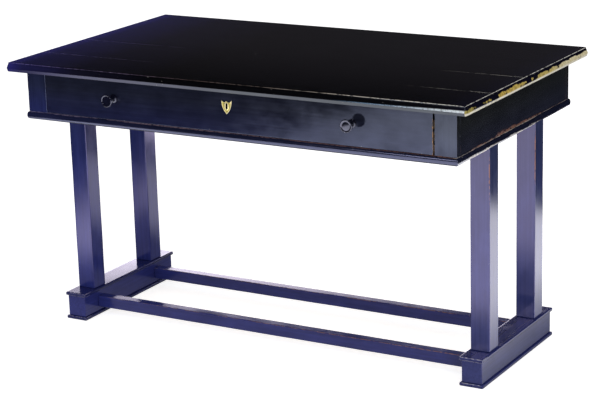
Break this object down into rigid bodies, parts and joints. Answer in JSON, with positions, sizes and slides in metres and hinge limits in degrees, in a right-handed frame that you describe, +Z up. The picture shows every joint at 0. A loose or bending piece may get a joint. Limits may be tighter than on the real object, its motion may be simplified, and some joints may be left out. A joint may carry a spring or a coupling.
{
  "type": "captains desk",
  "caption": "Ebonised writing desk: planked top with a nosed edge over a beaded case with one long lockable drawer, on a trestle base of square posts, moulded feet and low stretchers.",
  "frame": {"origin": "on the floor, under the middle of the top's outline", "axes": "+X along the desk to the sitter's right, -Y to the front where the drawer opens, +Z up"},
  "size_m": [1.346, 0.768, 0.762],
  "materials": {
    "ebonised_wood": "gloss",
    "bare_wood": "matte",
    "brass": "satin",
    "steel": "satin"
  },
  "bodies": {
    "desk": {"back_panel": "ebonised_wood", "batten_screws": "steel", "bead_back": "ebonised_wood", "bead_front": "ebonised_wood", "bead_left": "ebonised_wood", "bead_right": "ebonised_wood", "bearer_left": "bare_wood", "bearer_right": "bare_wood", "bearer_screws": "steel", "button_screws": "steel", "corner_blocks": "bare_wood", "drawer_runner_left": "bare_wood", "drawer_runner_right": "bare_wood", "drawer_stops": "bare_wood", "end_panel_left": "ebonised_wood", "end_panel_right": "ebonised_wood", "foot_block_left": "ebonised_wood", "foot_block_right": "ebonised_wood", "foot_cap_left": "ebonised_wood", "foot_cap_right": "ebonised_wood", "foot_sole_left": "ebonised_wood", "foot_sole_right": "ebonised_wood", "frame_rail_back": "ebonised_wood", "frame_rail_front": "ebonised_wood", "frame_rail_left": "ebonised_wood", "frame_rail_right": "ebonised_wood", "front_stile_left": "ebonised_wood", "front_stile_right": "ebonised_wood", "keeper_screws": "brass", "lock_keeper": "brass", "post_back_left": "ebonised_wood", "post_back_right": "ebonised_wood", "post_front_left": "ebonised_wood", "post_front_right": "ebonised_wood", "stretcher_back": "ebonised_wood", "stretcher_front": "ebonised_wood", "top_batten_left": "bare_wood", "top_batten_middle": "bare_wood", "top_batten_right": "bare_wood", "top_board_back": "ebonised_wood", "top_board_front": "ebonised_wood", "top_board_second": "ebonised_wood", "top_board_third": "ebonised_wood", "top_buttons": "bare_wood"},
    "drawer": {"drawer_back": "bare_wood", "drawer_bottom_left": "bare_wood", "drawer_bottom_right": "bare_wood", "drawer_front": "ebonised_wood", "drawer_muntin": "bare_wood", "drawer_side_left": "bare_wood", "drawer_side_right": "bare_wood", "escutcheon": "brass", "escutcheon_pins": "brass", "knob_left": "ebonised_wood", "knob_right": "ebonised_wood", "lock_case": "steel", "lock_screws": "steel"},
    "lock_bolt": {"lock_bolt": "brass"}
  },
  "joints": [
    {"name": "drawer_slide", "type": "slide", "parent": "desk", "child": "drawer", "axis": [0, -1, 0], "range_m": [0, 0.42]},
    {"name": "lock_bolt_slide", "type": "slide", "parent": "drawer", "child": "lock_bolt", "axis": [0, 0, 1], "range_m": [0, 0.008]}
  ]
}
